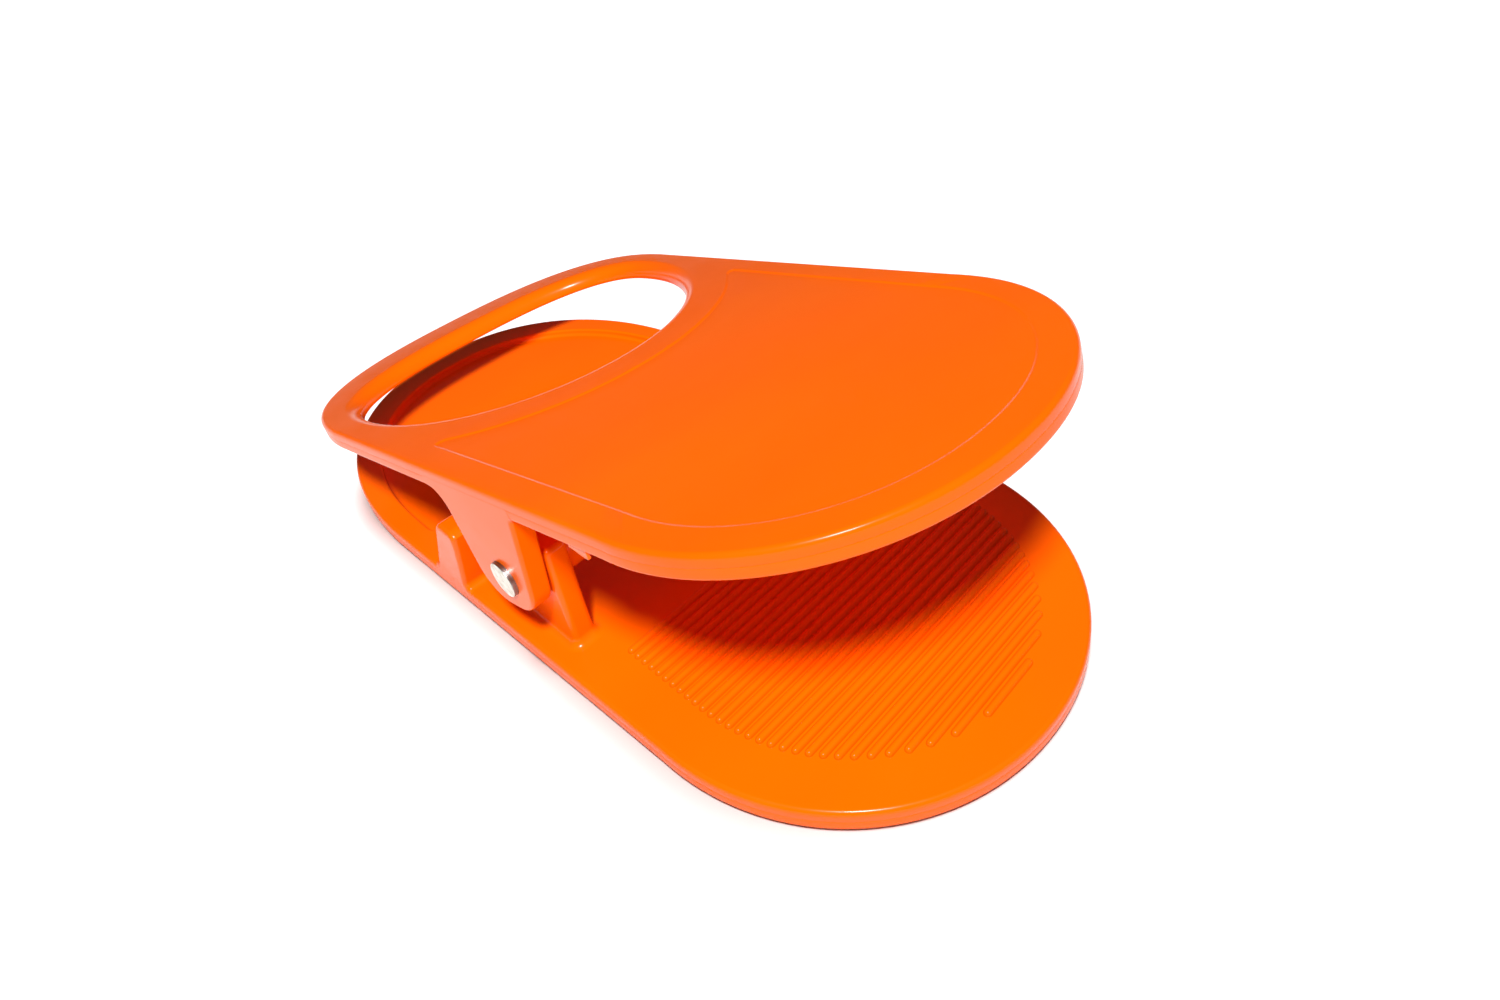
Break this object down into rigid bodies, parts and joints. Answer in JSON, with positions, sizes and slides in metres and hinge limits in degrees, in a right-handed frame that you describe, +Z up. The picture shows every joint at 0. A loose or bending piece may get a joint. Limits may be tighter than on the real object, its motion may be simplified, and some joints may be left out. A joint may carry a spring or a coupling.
{
  "type": "spring clamp",
  "caption": "Wide flat plastic spring clamp: rounded jaws with cross ribs, a large finger loop, and a steel pin through side ears.",
  "frame": {"origin": "middle of the lower jaw's flat underside, on the surface that the clamp rests on", "axes": "+X towards the jaw tips, +Y across the clamp along the pivot pin, +Z up"},
  "size_m": [0.11, 0.0534, 0.0326],
  "materials": {
    "jaw_plastic": "glossy moulded orange plastic",
    "pin_steel": "bright steel with a flat cut end",
    "spring_steel": "drawn spring wire"
  },
  "bodies": {
    "lower": {"lower_jaw": "jaw_plastic", "torsion_spring": "spring_steel"},
    "upper": {"upper_jaw": "jaw_plastic", "pivot_pin": "pin_steel"}
  },
  "joints": [
    {"name": "jaw_hinge", "type": "hinge", "parent": "lower", "child": "upper", "pos_m": [0.0102, 0, 0.0122], "axis": [0, 1, 0], "range_deg": [-7, 35], "stiffness_Nm_per_rad": 0.3, "deforming": ["torsion_spring"]}
  ]
}
